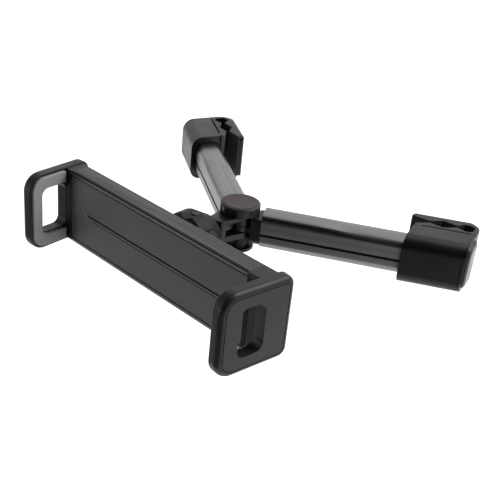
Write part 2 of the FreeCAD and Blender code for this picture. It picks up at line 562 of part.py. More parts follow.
def jaw(side):
    """A jaw: base against the channel's end, and a leaning rounded plate with a window."""
    outer, lean = plate_frame(side)
    half = BODY_H / 2
    tip, tail = FRONT - PLATE_REACH[side], FRONT + PLATE_TAIL
    tall = half + PLATE_OVER
    radii = (PLATE_TAIL_R, PLATE_TIP_R, PLATE_TIP_R, PLATE_TAIL_R)
    plate = bar_x(tip, tail, -tall, tall, radii, outer - PLATE_T, outer)
    plate = plate.makeFillet(PLATE_OUT_ROUND, edges_at(plate, lambda p: abs(p.x - outer) < 1e-6))
    plate = plate.makeFillet(PLATE_IN_ROUND, edges_at(plate, lambda p: abs(p.x - outer + PLATE_T) < 1e-6))
    plate = lean(plate)
    inner = outer - PLATE_T
    base = bar_x(FRONT, BACK, -half, half, (BODY_R, BACK_R, BACK_R, BODY_R), BODY_L / 2, outer - PLATE_T / 2)
    root = prism(((inner - ROOT_R, FRONT + ROOT_IN), (inner + ROOT_R, FRONT + ROOT_IN), (inner + ROOT_R, FRONT - ROOT_R)),
                 -half + LIP_H, half - LIP_H)
    root = root.cut(Part.makeCylinder(ROOT_R, BODY_H, V(inner - ROOT_R, FRONT - ROOT_R, -half), Z))
    back = prism(((inner - WEDGE_IN, BACK - ROOT_IN), (inner + WEDGE_OUT, BACK - ROOT_IN), (inner + WEDGE_OUT, BACK + WEDGE_T)),
                 -half + WEDGE_EDGE, half - WEDGE_EDGE)
    solid = base.multiFuse((root, back, plate), FUSE_TOLERANCE)
    for x in RIDGES:
        solid = solid.cut(box(BODY_L / 2 + x, BODY_L / 2 + x + RIDGE_W, FRONT, FRONT + RIDGE_DEEP,
                              -half + LIP_H, half - LIP_H))
    window = bar_x(FRONT - WINDOW_FAR[side], FRONT - WINDOW_NEAR, -WINDOW_H / 2, WINDOW_H / 2, (WINDOW_R,) * 4,
                   outer - PLATE_T - WEDGE_IN, outer + WEDGE_OUT)
    solid = solid.cut(lean(window)).cut(lean(pad_blank(side, PAD_T - PAD_PROUD, 0)))
    if side < 0:
        plug = bar_x(FRONT + PANEL_BACK, BACK - BODY_WALL, -PLUG_H / 2, PLUG_H / 2, (PLUG_R,) * 4,
                     BODY_L / 2 - PLUG_IN, BODY_L / 2 + PLUG_ROOT)
        solid = solid.fuse(plug)
    else:
        solid = solid.cut(tongue_root())
    return mirrored(solid, side)


def tongue_root():
    """The tongue's end inside the right jaw's base."""
    return box(BODY_L / 2, BODY_L / 2 + RIGHT_BASE - PLATE_T - ROOT_IN, TONGUE_Y, TONGUE_Y + TONGUE_T,
               -TONGUE_H / 2, TONGUE_H / 2)


def mirrored(shape, side):
    """Mirror a right-hand shape for the left jaw."""
    return shape if side > 0 else shape.mirror(V(0, 0, 0), X)


def pad_blank(side, depth, gap):
    """A slab round the window, open at the root: the pad's pocket, or the pad itself, a gap smaller."""
    inner = plate_frame(side)[0] - PLATE_T
    edge = PAD_EDGE - PAD_GAP + gap
    half = BODY_H / 2 + PLATE_OVER - edge
    r = PLATE_TIP_R - edge
    slab = bar_x(FRONT - PLATE_REACH[side] + edge, FRONT - PAD_ROOT, -half, half, (2.0, r, r, 2.0), inner, inner + depth)
    high = WINDOW_H / 2 + gap
    hole = bar_x(FRONT - WINDOW_FAR[side] - gap, FRONT + WINDOW_R, -high, high, (WINDOW_R,) * 4, inner, inner + depth)
    return slab.cut(hole)


def pad(side):
    """Grey rubber pad let into the jaw's inner face."""
    outer, lean = plate_frame(side)
    slab = pad_blank(side, PAD_T, PAD_GAP)
    slab.translate(X * -PAD_PROUD)
    face = edges_at(slab, lambda p: abs(p.x - (outer - PLATE_T - PAD_PROUD)) < 1e-6)
    slab = slab.makeFillet(PAD_ROUND, face)
    return mirrored(lean(slab), side)


def tongue():
    """Flat slide of the right jaw, with two windows for the springs and their hooks."""
    half = TONGUE_H / 2
    solid = bar_x(TONGUE_Y, TONGUE_Y + TONGUE_T, -half, half, (0.4,) * 4, TONGUE_END, BODY_L / 2)
    solid = solid.fuse(tongue_root())
    for side in (-1, 1):
        z = side * TONGUE_WINDOW_Z
        x0, x1 = SPRING_ANCHOR_X - JAW_TRAVEL - POST_R - 1.0, SPRING_HOOK_X + 4.0
        gap = face_of(rounded(x0, x1, z - TONGUE_WINDOW_H / 2, z + TONGUE_WINDOW_H / 2, (2.0,) * 4),
                      lambda a, b: V(a, TONGUE_Y - 1, b)).extrude(Y * (TONGUE_T + 2))
        solid = solid.cut(gap)
        rod = Part.makeCylinder(ROD_R, TONGUE_WINDOW_H + 2, V(SPRING_HOOK_X, SPRING_Y, z - TONGUE_WINDOW_H / 2 - 1), Z)
        solid = solid.fuse(rod)
    return solid.cut(disc_y(STOP_PIN_R, TONGUE_Y - 1, TONGUE_Y + TONGUE_T + 1, STOP_PIN_X, 0))


def stop_pin():
    """Bright pin that rides in the panel's slot."""
    return disc_y(STOP_PIN_R, FRONT + STOP_PIN_SINK, TONGUE_Y + TONGUE_T, STOP_PIN_X, 0)


def spring(side):
    """Close-wound tension spring with an eye round its post and one round the tongue's rod."""
    z = side * TONGUE_WINDOW_Z
    x0, x1 = SPRING_ANCHOR_X + COIL_START, SPRING_HOOK_X - COIL_END
    reach_a = SPRING_ANCHOR_X + POST_R + EYE_GAP
    reach_b = SPRING_HOOK_X - ROD_R - EYE_GAP
    turns = int((x1 - x0) / COIL_PITCH)
    pitch = (x1 - x0) / turns
    line = [(reach_a, 0), (reach_a, WIRE_R), (x0, WIRE_R)]
    for k in range(turns):
        line += [(x0 + pitch * k, SPRING_R), (x0 + pitch * (k + 0.5), SPRING_R + WIRE_R)]
    line += [(x1, SPRING_R), (x1, WIRE_R), (reach_b, WIRE_R), (reach_b, 0)]
    coil = turned([(px, SPRING_Y + r, z) for px, r in line], V(0, SPRING_Y, z), X)
    eye_a = Part.makeTorus(POST_R + EYE_GAP + WIRE_R, WIRE_R, V(SPRING_ANCHOR_X, SPRING_Y, z), Y)
    eye_b = Part.makeTorus(ROD_R + EYE_GAP + WIRE_R, WIRE_R, V(SPRING_HOOK_X, SPRING_Y, z), Z)
    return coil.fuse(eye_a).fuse(eye_b)


def build():
    """Write every node."""
    os.makedirs("parts", exist_ok=True)
    for name, side, lug in (("right", 1, RIGHT_LUG), ("left", -1, LEFT_LUG)):
        save("knuckle_" + name, on_arm(knuckle(lug), side))
        save("tube_" + name, on_arm(outer_tube(), side))
        save("bar_" + name, on_arm(inner_bar(), side))
        save("shoe_" + name, on_arm(shoe(), side))
        save("clamp_" + name, on_arm(clamp_housing(), side))
        save("end_cap_" + name, on_arm(end_cap(), side))
        save("teeth_front_" + name, on_arm(teeth(1), side))
        save("teeth_rear_" + name, on_arm(teeth(-1), side))
        save("jaw_" + name, jaw(side))
        save("pad_" + name, pad(side))
    save("pivot_cap", pivot_cap())
    save("pivot_nut", pivot_nut())
    save("pivot_bolt", pivot_bolt())
    save("ball_stem", ball_stem())
    for name, z in (("low", LOW_LUG[1]), ("mid", RIGHT_LUG[1]), ("top", LEFT_LUG[1])):
        save("washer_" + name, disc_z(LUG_R - 1, z, z + WASHER_T).cut(disc_z(BOLT_R + PIN_FIT, z - 1, z + 2)))
    save("liner_front", shell_piece(BALL_Y - 2 * BALL_R, BALL_Y - LINER_SPLIT))
    save("liner_rear", shell_piece(BALL_Y - LINER_LAP, BALL_Y + CUP_MOUTH))
    save("ball_socket", ball_socket())
    save("base_screws", base_screws())
    save("ring_nut", ring_nut())
    save("cradle_channel", cradle_channel())
    save("front_panel", front_panel())
    save("tongue", tongue())
    save("stop_pin", stop_pin())
    save("spring_upper", spring(1))
    save("spring_lower", spring(-1))


build()
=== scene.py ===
# %% [markdown]
# # A headrest tablet mount
#
# The mount is a small machine of moulded plastic, aluminium extrusions and rubber.
# Its shapes come from a CAD model, which is loaded here as a fixed frame. This file
# gives every piece its real finish, adds the fine pieces that the CAD leaves plain,
# and sets up the light and the camera.

# %% Load the frame
from math import cos, pi, radians, sin

import bpy
from mathutils import Matrix, Vector


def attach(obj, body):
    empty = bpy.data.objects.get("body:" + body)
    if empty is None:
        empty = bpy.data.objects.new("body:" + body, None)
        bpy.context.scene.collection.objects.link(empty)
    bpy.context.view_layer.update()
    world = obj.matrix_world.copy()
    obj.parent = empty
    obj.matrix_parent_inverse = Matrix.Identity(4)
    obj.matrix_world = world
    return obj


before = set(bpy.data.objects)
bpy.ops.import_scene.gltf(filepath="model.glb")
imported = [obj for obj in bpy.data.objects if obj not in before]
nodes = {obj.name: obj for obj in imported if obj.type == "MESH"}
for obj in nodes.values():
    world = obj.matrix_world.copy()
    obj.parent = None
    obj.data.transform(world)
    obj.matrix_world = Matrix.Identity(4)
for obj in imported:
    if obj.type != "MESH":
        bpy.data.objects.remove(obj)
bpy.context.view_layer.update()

# %% [markdown]
# ## The camera
#
# The photograph was taken from above and to one side with a medium lens, and the camera was
# tilted a little on its own axis. Its place was found by fitting a pinhole camera to edges
# of the mount, so the picture can be laid over the photograph. A pinhole's focal length in
# pixels turns to millimetres with the sensor's width.

# %% Camera
PICTURE_PIXELS = 500.0
FOCAL_PIXELS = 892.0
SENSOR_MM = 36.0
AZIMUTH = radians(41.70)
ELEVATION = radians(27.92)
ROLL = radians(6.15)
EYE = Vector((0.4255, -0.5609, 0.3090))

ahead = Vector((-sin(AZIMUTH) * cos(ELEVATION), cos(AZIMUTH) * cos(ELEVATION), -sin(ELEVATION)))
level = Vector((cos(AZIMUTH), sin(AZIMUTH), 0.0))
upright = level.cross(ahead)
right = cos(ROLL) * level + sin(ROLL) * upright
up = cos(ROLL) * upright - sin(ROLL) * level
lens = bpy.data.cameras.new("camera")
lens.sensor_width = SENSOR_MM
lens.lens = FOCAL_PIXELS / PICTURE_PIXELS * SENSOR_MM
camera = bpy.data.objects.new("camera", lens)
camera.matrix_world = Matrix((
    (right.x, up.x, -ahead.x, EYE.x),
    (right.y, up.y, -ahead.y, EYE.y),
    (right.z, up.z, -ahead.z, EYE.z),
    (0, 0, 0, 1)))
bpy.context.collection.objects.link(camera)
scene = bpy.context.scene
scene.camera = camera
scene.view_settings.view_transform = "Standard"
print("lens", round(lens.lens, 1), "mm")

# %% [markdown]
# ## Colours and nodes
#
# Colours are written as the eye reads them, in sRGB hex, and one function turns them to the
# linear values that the renderer wants. A second small function adds a shader node, sets
# its sockets and joins it to others. The rest build on it: noise of a size in millimetres,
# a mix of two colours, and a value taken from one range to another.

# %% Helpers for materials
MM = 0.001


def colour(code):
    """An sRGB hex code as a linear colour."""
    out = []
    for k in (0, 2, 4):
        part = int(code[k:k + 2], 16) / 255
        out.append(part / 12.92 if part <= 0.04045 else ((part + 0.055) / 1.055) ** 2.4)
    return (*out, 1.0)


def add(tree, kind, sockets=None, **settings):
    """Add a shader node; a socket takes a value or another node's output."""
    made = tree.nodes.new(kind)
    for key, value in settings.items():
        setattr(made, key, value)
    for key, value in (sockets or {}).items():
        if isinstance(value, bpy.types.NodeSocket):
            tree.links.new(value, made.inputs[key])
        else:
            made.inputs[key].default_value = value
    return made


def place_on_object(tree):
    """A point's place in the object's own frame."""
    return add(tree, "ShaderNodeTexCoord").outputs["Object"]


def noise(tree, where, size_mm, detail):
    """Noise whose spots have about the given size."""
    made = add(tree, "ShaderNodeTexNoise", {"Vector": where, "Scale": 1 / (size_mm * MM), "Detail": detail})
    return made.outputs["Fac"]


def mixed(tree, amount, code, other):
    """A mix of two hex colours."""
    made = add(tree, "ShaderNodeMix", {"Factor": amount, "A": colour(code), "B": colour(other)},
               data_type="RGBA")
    return made.outputs["Result"]


def remapped(tree, value, low, high, to_low=0.0, to_high=1.0):
    """A value taken from the range low to high to another range."""
    made = add(tree, "ShaderNodeMapRange", {
        "Value": value, "From Min": low, "From Max": high, "To Min": to_low, "To Max": to_high})
    return made.outputs["Result"]


def blank(name):
    """A new material with an empty node tree."""
    made = bpy.data.materials.new(name)
    made.use_nodes = True
    made.node_tree.nodes.clear()
    print("material:", name)
    return made, made.node_tree


def finish_with(tree, shader):
    """Join a shader to the material's output."""
    out = add(tree, "ShaderNodeOutputMaterial")
    tree.links.new(shader.outputs[0], out.inputs["Surface"])


print("a mid grey in linear light:", round(colour("808080")[0], 3))

# %% [markdown]
# ## Moulded plastic
#
# The clamps, jaws and joint pieces are glass-filled nylon or ABS from a spark-eroded mould.
# Such a mould leaves a fine grain, which makes the sheen soft and keeps the deep colour. The
# grain is about 0.2 mm on the real part; here it is drawn at 0.35 mm, because a finer one
# would not show. A slow change of roughness stands for handling.

# %% Moulded plastic
HANDLING_MM = 22


def moulded(name, code, worn, rough, grain_mm=0.35, depth=0.03, edge_mm=0.35):
    """Moulded plastic with spark grain, soft edges and a slow change in sheen."""
    made, tree = blank(name)
    where = place_on_object(tree)
    grain = noise(tree, where, grain_mm, 3.0)
    slow = noise(tree, where, HANDLING_MM, 4.0)
    sheen = remapped(tree, slow, 0.3, 0.7, rough - 0.05, rough + 0.06)
    tint = mixed(tree, slow, code, worn)
    soft = add(tree, "ShaderNodeBevel", {"Radius": edge_mm * MM}, samples=4)
    bump = add(tree, "ShaderNodeBump", {
        "Strength": 0.5, "Distance": depth * MM, "Height": grain, "Normal": soft.outputs["Normal"]})
    shader = add(tree, "ShaderNodeBsdfPrincipled", {
        "Base Color": tint, "Roughness": sheen, "IOR": 1.38, "Normal": bump.outputs["Normal"]})
    finish_with(tree, shader)
    return made


clamp_plastic = moulded("moulded nylon, clamps", "121213", "171718", 0.36)
jaw_plastic = moulded("moulded ABS, jaws", "1e1e1f", "262627", 0.40)
joint_plastic = moulded("glass-filled nylon, joint", "101011", "161617", 0.32)
knob_plastic = moulded("moulded nylon, grips", "322d2d", "3a3636", 0.42)
ring_plastic = moulded("moulded nylon, ring", "0b0b0b", "111111", 0.55)
panel_plastic = moulded("moulded ABS, panel", "646465", "6b6b6c", 0.46)
cap_plastic = moulded("polished ABS, end caps", "262627", "2c2c2d", 0.26, grain_mm=0.8, depth=0.006)
natural_nylon = moulded("natural nylon", "d8d4c6", "c9c4b4", 0.4)

# %% [markdown]
# ## Brushed aluminium
#
# The arm tubes and the cradle are extruded, brushed along their length and anodised dark.
# Brushing leaves scratches tens of millimetres long and a few hundredths wide, which spread
# the highlight across the brushing. Noise that is stretched along the bar draws them, 0.25 mm
# wide so that they show. Each piece has its own direction, so the pattern is turned to it.

# %% Brushed aluminium
SCRATCH_STRETCH = 0.006
STREAK_MM = 2.2
HALF_ANGLE = 58.0
ARM_TURN = {"right": 90 - HALF_ANGLE, "left": 90 + HALF_ANGLE}


def brushed(name, code, bright, rough, turn_deg, spread=0.55, line_mm=0.25, depth=0.012):
    """Anodised aluminium or steel, brushed along the direction turn_deg from +X."""
    made, tree = blank(name)
    where = place_on_object(tree)
    turned = add(tree, "ShaderNodeMapping", {"Vector": where, "Rotation": (0, 0, -radians(turn_deg))})
    drawn = add(tree, "ShaderNodeMapping", {
        "Vector": turned.outputs["Vector"], "Scale": (SCRATCH_STRETCH, 1, 1)}).outputs["Vector"]
    lines = noise(tree, drawn, line_mm, 4.0)
    broad = noise(tree, drawn, STREAK_MM, 2.0)
    tint = mixed(tree, remapped(tree, broad, 0.35, 0.65), code, bright)
    sheen = remapped(tree, lines, 0.3, 0.7, rough - 0.04, rough + 0.06)
    bump = add(tree, "ShaderNodeBump", {"Strength": 0.35, "Distance": depth * MM, "Height": lines})
    shader = add(tree, "ShaderNodeBsdfPrincipled", {
        "Base Color": tint, "Metallic": 1.0, "Roughness": sheen, "Anisotropic": spread,
        "Normal": bump.outputs["Normal"]})
    finish_with(tree, shader)
    return made


tube_metal = {}
bar_metal = {}
for side, turn in ARM_TURN.items():
    tube_metal[side] = brushed("brushed aluminium, %s arm" % side, "7a7b7d", "88898b", 0.32, turn)
    bar_metal[side] = brushed("anodised aluminium, %s bar" % side, "a9aaac", "b4b5b7", 0.34, turn)
cradle_metal = brushed("brushed aluminium, cradle", "4d4a4a", "5c5a59", 0.42, 0.0)
plain_steel = brushed("drawn steel", "a8a8aa", "b6b6b8", 0.3, 0.0, spread=0.2, line_mm=0.15)
bright_steel = brushed("polished steel, pin", "d0d0d0", "dcdcdc", 0.14, 0.0, spread=0.0, line_mm=0.15,
                       depth=0.004)
print("arms brushed along", ARM_TURN)

# %% [markdown]
# ## Rubber
#
# The jaws' pads are light grey silicone rubber, and the teeth in the clamps are a darker
# one. Rubber has a soft, dusty sheen and picks up lint, so its roughness is high and its
# colour is broken up a little.

# %% Rubber
RUBBER_GRAIN_MM = 0.5
LINT_MM = 9


def rubber(name, code, dusty, rough, gloss=0.5, sheen=0.15):
    """Matt rubber with a fine grain and a cloudy colour."""
    made, tree = blank(name)
    where = place_on_object(tree)
    grain = noise(tree, where, RUBBER_GRAIN_MM, 4.0)
    cloud = noise(tree, where, LINT_MM, 5.0)
    tint = mixed(tree, cloud, code, dusty)
    bump = add(tree, "ShaderNodeBump", {"Strength": 0.4, "Distance": 0.04 * MM, "Height": grain})
    shader = add(tree, "ShaderNodeBsdfPrincipled", {
        "Base Color": tint, "Roughness": rough, "IOR": 1.41, "Specular IOR Level": gloss,
        "Sheen Weight": sheen, "Sheen Roughness": 0.5, "Normal": bump.outputs["Normal"]})
    finish_with(tree, shader)
    return made


pad_rubber = rubber("silicone rubber, pads", "a6a7a8", "b2b3b4", 0.62)
teeth_and_scallop_shade_rubber = rubber("silicone rubber, teeth and painted scallop shade", "2b2b2c", "363637", 0.6)

# %% [markdown]
# ## Giving the finishes out
#
# Every CAD node gets its finish by name. The arms' nodes differ from side to side, because
# the brushing follows each arm.

# %% Finishes of the CAD nodes
finishes = {
    "pivot_cap": knob_plastic, "pivot_nut": ring_plastic, "pivot_bolt": plain_steel,
    "washer_low": natural_nylon, "washer_mid": natural_nylon, "washer_top": natural_nylon,
    "ball_stem": joint_plastic, "ball_socket": joint_plastic, "ring_nut": ring_plastic,
    "liner_front": natural_nylon, "liner_rear": natural_nylon, "base_screws": plain_steel,
    "cradle_channel": cradle_metal, "front_panel": panel_plastic, "tongue": joint_plastic,
    "stop_pin": bright_steel, "spring_upper": plain_steel, "spring_lower": plain_steel}
for side in ARM_TURN:
    finishes.update({
        "knuckle_" + side: joint_plastic, "tube_" + side: tube_metal[side], "bar_" + side: bar_metal[side],
        "shoe_" + side: natural_nylon, "clamp_" + side: clamp_plastic, "end_cap_" + side: cap_plastic,
        "teeth_front_" + side: teeth_and_scallop_shade_rubber, "teeth_rear_" + side: teeth_and_scallop_shade_rubber,
        "jaw_" + side: jaw_plastic, "pad_" + side: pad_rubber})
for name, finish in finishes.items():
    slots = nodes[name].data.materials
    slots.clear()
    slots.append(finish)
print("finishes:", len(finishes), "of", len(nodes))

# %% [markdown]
# ## Places in the frame
#
# The small pieces that follow have to sit on the CAD's, so their places are measured on it.
# They are rounded to a tenth of a millimetre, because the frame lies a hundredth off its
# drawing. Lengths are in millimetres, as on a drawing, and MM turns them to Blender's metres.
# The cradle lies along x, and its rest face looks to the front, which is -y.


# %% Places in the frame
def span(name, axis):
    """The two ends of a CAD node along an axis at rest, and its middle, to a tenth of a millimetre."""
    places = [corner[axis] / MM for corner in nodes[name].bound_box]
    low, high = min(places), max(places)
    return {"low": round(low, 1), "middle": round((low + high) / 2, 1), "high": round(high, 1)}


X, Y, Z = range(3)
CRADLE_HALF = span("cradle_channel", X)["high"]
REST_FACE = span("cradle_channel", Y)["low"]
CRADLE_TOP = span("cradle_channel", Z)["high"]
PIVOT_Y = span("pivot_bolt", Y)["middle"]
print("cradle: half length", CRADLE_HALF, "rest face", REST_FACE, "top", CRADLE_TOP)
print("pivot: y", PIVOT_Y)

# %% [markdown]
# ## Small pieces made by hand
#
# The CAD model holds the main shapes. What it leaves plain are thin trims and small fittings,
# which this part adds. Each starts from a primitive of the right size, is shaped in edit mode
# or by a modifier that is applied, and has its place in its mesh, as a CAD node does.


# %% Helpers for pieces
def only(made):
    """Select one object and nothing else."""
    bpy.ops.object.select_all(action="DESELECT")
    made.select_set(True)
    bpy.context.view_layer.objects.active = made


def settle(made):
    """Put an object's place, turn and size into its mesh."""
    only(made)
    bpy.ops.object.transform_apply(location=True, rotation=True, scale=True)
    return made


def block(low, high):
    """A cube primitive between two corners."""
    bpy.ops.object.select_all(action="DESELECT")
    bpy.ops.mesh.primitive_cube_add(size=1.0, location=[(a + b) / 2 * MM for a, b in zip(low, high)])
    made = bpy.context.object
    made.scale = [(b - a) * MM for a, b in zip(low, high)]
    return settle(made)


def disc(radius, depth, place, turn=(0.0, 0.0, 0.0), rim=64):
    """A flat cylinder primitive about a point."""
    bpy.ops.object.select_all(action="DESELECT")
    bpy.ops.mesh.primitive_cylinder_add(vertices=rim, radius=radius * MM, depth=depth * MM,
                                        location=[v * MM for v in place], rotation=turn)
    return bpy.context.object


def soften(made, width, steps=3):
    """Round a piece's edges with a bevel that is applied."""
    only(made)
    bevel = made.modifiers.new("soft edges", "BEVEL")
    bevel.width = width * MM
    bevel.segments = steps
    bevel.limit_method = "ANGLE"
    bpy.ops.object.modifier_apply(modifier=bevel.name)
    bpy.ops.object.shade_smooth_by_angle(angle=radians(35))


def faces_up(face):
    """Whether a face looks along +z."""
    return face.normal.z > 0.9


def inset_faces(made, test, inset, sink):
    """Inset the faces that pass a test, and sink what is inside."""
    only(made)
    bpy.context.tool_settings.mesh_select_mode = (False, False, True)
    bpy.ops.object.mode_set(mode="EDIT")
    bpy.ops.mesh.select_all(action="DESELECT")
    bpy.ops.object.mode_set(mode="OBJECT")
    for face in made.data.polygons:
        face.select = test(face)
    bpy.ops.object.mode_set(mode="EDIT")
    bpy.ops.mesh.inset(thickness=inset * MM, depth=-sink * MM)
    bpy.ops.object.mode_set(mode="OBJECT")


def fit_piece(made, name, body, finish):
    """Name a piece, give it its finish and let it ride on its body."""
    settle(made)
    made.name = name
    made.data.name = name
    made.data.materials.clear()
    made.data.materials.append(finish)
    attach(made, body)
    print(name, "rides on", body, len(made.data.polygons), "faces")


def twin(made, shift):
    """A copy with its own mesh, moved along."""
    copy = made.copy()
    copy.data = made.data.copy()
    bpy.context.collection.objects.link(copy)
    copy.location = [v * MM for v in shift]
    return copy


# %% [markdown]
# ## Painted shade strips in the cradle
#
# Thin near-black strips with little gloss paint the shade along the cradle: one lies in the gap
# between the upper lip and the front panel, a bead lies in the groove along the top and the
# bottom, and a third on the upper front corner paints the dark reflection of its rounding. They
# are the thin dark lines along the cradle. Each is a long block with soft edges.

# %% Painted shade strips
# Near-black with little gloss: it paints the shade of grooves and gaps and the dark reflection on rounded
# edges.
painted_shade_rubber = rubber("painted shade, near-black strips", "050505", "0a0a0a", 0.7, gloss=0.1, sheen=0.0)
PROUD = 0.05
SOFT_EDGE = 0.15
LIP_H = 3.0
LIP_INNER = CRADLE_TOP - LIP_H


def along_cradle(near, far, low, high, edge, steps=2):
    """A soft-edged block as long as the cradle; near and far are depths behind the rest face."""
    made = block((-CRADLE_HALF, REST_FACE + near, low), (CRADLE_HALF, REST_FACE + far, high))
    soften(made, edge, steps)
    return made


STRIP_H, STRIP_NEAR, STRIP_FAR = 0.9, 0.1, 0.6
strip = along_cradle(STRIP_NEAR, STRIP_FAR, LIP_INNER - STRIP_H, LIP_INNER, SOFT_EDGE)
fit_piece(strip, "strip_upper", "cradle", painted_shade_rubber)

BEAD_H, BEAD_SINK, BEAD_NEAR, BEAD_FAR = 0.5, 0.15, 1.55, 2.45
BEAD_HIGH = CRADLE_TOP - BEAD_SINK
BEAD_LOW = BEAD_HIGH - BEAD_H
bead = along_cradle(BEAD_NEAR, BEAD_FAR, BEAD_LOW, BEAD_HIGH, SOFT_EDGE)
fit_piece(bead, "bead_top", "cradle", painted_shade_rubber)
fit_piece(twin(bead, (0, 0, -BEAD_LOW - BEAD_HIGH)), "bead_bottom", "cradle", painted_shade_rubber)

CORNER_H, CORNER_FAR, CORNER_ROUND = 0.9, 1.2, 0.45
corner = along_cradle(-PROUD, CORNER_FAR, CRADLE_TOP - CORNER_H, CRADLE_TOP + PROUD, CORNER_ROUND, steps=3)
fit_piece(corner, "corner_strip", "cradle", painted_shade_rubber)

# %% [markdown]
# ## Painted highlights on the lips' edges
#
# The light line between two of the dark strips is the painted highlight on the lip's rounded
# front edge, drawn in a lighter brushed metal than the cradle. Each edge is a thin flat bar that
# stands as proud of the lip as the corner strip does.

# %% Lip edges
# A lighter metal that paints the highlight on the lips' rounded front edges.
painted_highlight_metal = brushed("painted highlight, lip edges", "6c6b6a", "7b7978", 0.45, 0.0)
EDGE_GAP, EDGE_FAR, EDGE_ROUND = 0.1, 0.3, 0.04
EDGE_LOW = LIP_INNER + EDGE_GAP
EDGE_HIGH = CRADLE_TOP - CORNER_H - EDGE_GAP
lip = along_cradle(-PROUD, EDGE_FAR, EDGE_LOW, EDGE_HIGH, EDGE_ROUND)
fit_piece(lip, "lip_upper", "cradle", painted_highlight_metal)
fit_piece(twin(lip, (0, 0, -EDGE_LOW - EDGE_HIGH)), "lip_lower", "cradle", painted_highlight_metal)

# %% [markdown]
# ## Painted shade strips along the arms
#
# Each arm tube has a groove along both sides, and a near-black strip with little gloss lies in it
# with its flat head a little proud, painting the groove's shade. One strip is made in an arm's own
# frame, where x runs along the arm, and the four are copies of it, shifted to their side and turned
# to their arm.

# %% Arm strips
TUBE_FROM, TUBE_TO, TUBE_SIDE = 19.6, 139.4, 10.9
HEAD_LOW, HEAD_HIGH, HEAD_OUT, HEAD_ROUND = -3.2, -1.2, 11.12, 0.08
master = block((TUBE_FROM, TUBE_SIDE, HEAD_LOW), (TUBE_TO, HEAD_OUT, HEAD_HIGH))
soften(master, HEAD_ROUND, steps=2)
for side, turn in ARM_TURN.items():
    for face, shift in (("near", -TUBE_SIDE - HEAD_OUT), ("far", 0.0)):
        copy = settle(twin(master, (0, shift, 0)))
        copy.rotation_euler = (0.0, 0.0, radians(turn))
        copy.location = (0.0, PIVOT_Y * MM, 0.0)
        fit_piece(copy, "arm_strip_%s_%s" % (side, face), "arm_" + side, painted_shade_rubber)
bpy.data.objects.remove(master)

# %% [markdown]
# ## Cheek of the fork
#
# Between the fork's two lugs a cheek stands against the web and leaves room for the arms'
# round eyes. It is a block, and a cone about the pivot's axis cuts it, so the face towards the
# eyes is hollow and leans away from them at its lower edge. Its edges are soft, so that they
# catch the light.

# %% Cheek
CHEEK_HALF, CHEEK_LOW, CHEEK_HIGH = 6.8, 1.4, 7.2
CHEEK_WEB_SIDE, CHEEK_EYE_SIDE = 21.3, 10.0
CHEEK_ROUND = 1.0
CONE_FOOT, CONE_TIP, CONE_H = 27.3, 6.3, 40.0
cheek = block((-CHEEK_HALF, PIVOT_Y - CHEEK_WEB_SIDE, CHEEK_LOW),
              (CHEEK_HALF, PIVOT_Y - CHEEK_EYE_SIDE, CHEEK_HIGH))
bpy.ops.object.select_all(action="DESELECT")
bpy.ops.mesh.primitive_cone_add(vertices=128, radius1=CONE_FOOT * MM, radius2=CONE_TIP * MM,
                                depth=CONE_H * MM, location=(0, PIVOT_Y * MM, 0))
cutter = bpy.context.object
only(cheek)
cut = cheek.modifiers.new("room for the eyes", "BOOLEAN")
cut.operation = "DIFFERENCE"
cut.object = cutter
bpy.ops.object.modifier_apply(modifier=cut.name)
bpy.data.objects.remove(cutter)
soften(cheek, CHEEK_ROUND, steps=4)
fit_piece(cheek, "fork_cheek", "hub", joint_plastic)

# %% [markdown]
# ## Inlay of the grip cap
#
# The grip cap has a satin disc on top with a slightly sunk middle, which hides the bolt's head.
# It is moulded in a warmer grey than the cap.

# %% Inlay
inlay_plastic = moulded("moulded ABS, cap inlay", "3a2f2f", "443838", 0.45)
CAP_TOP = span("pivot_cap", Z)["high"]
INLAY_R, INLAY_H, INLAY_ROUND = 13.4, 0.6, 0.2
INLAY_RIM, INLAY_SINK = 1.0, 0.15
inlay = disc(INLAY_R, INLAY_H, (0, PIVOT_Y, CAP_TOP), rim=96)
inset_faces(inlay, faces_up, INLAY_RIM, INLAY_SINK)
soften(inlay, INLAY_ROUND, steps=2)
fit_piece(inlay, "cap_inlay", "knob", inlay_plastic)

# %% [markdown]
# ## Head of the stop pin
#
# The bright dot at the slot's closed end is the polished head of the stop pin. It is a little
# wider than the slot and rides with the sliding jaw.

# %% Pin head
PIN_X = span("stop_pin", X)["middle"]
PIN_HEAD_R, PIN_HEAD_H, PIN_HEAD_ROUND = 0.95, 0.4, 0.18
PIN_HEAD_Y = REST_FACE + 0.25
head = disc(PIN_HEAD_R, PIN_HEAD_H, (PIN_X, PIN_HEAD_Y, 0), turn=(radians(90), 0, 0), rim=32)
soften(head, PIN_HEAD_ROUND)
fit_piece(head, "pin_head", "sliding_jaw", bright_steel)

# %% [markdown]
# ## Painted shade in the ring nut's scallops
#
# Each scallop of the ring nut holds a round, rough, dark grey disc that paints the shade in the
# scallop. One is made, and the six in the nut are copies, each turned by a sixth.

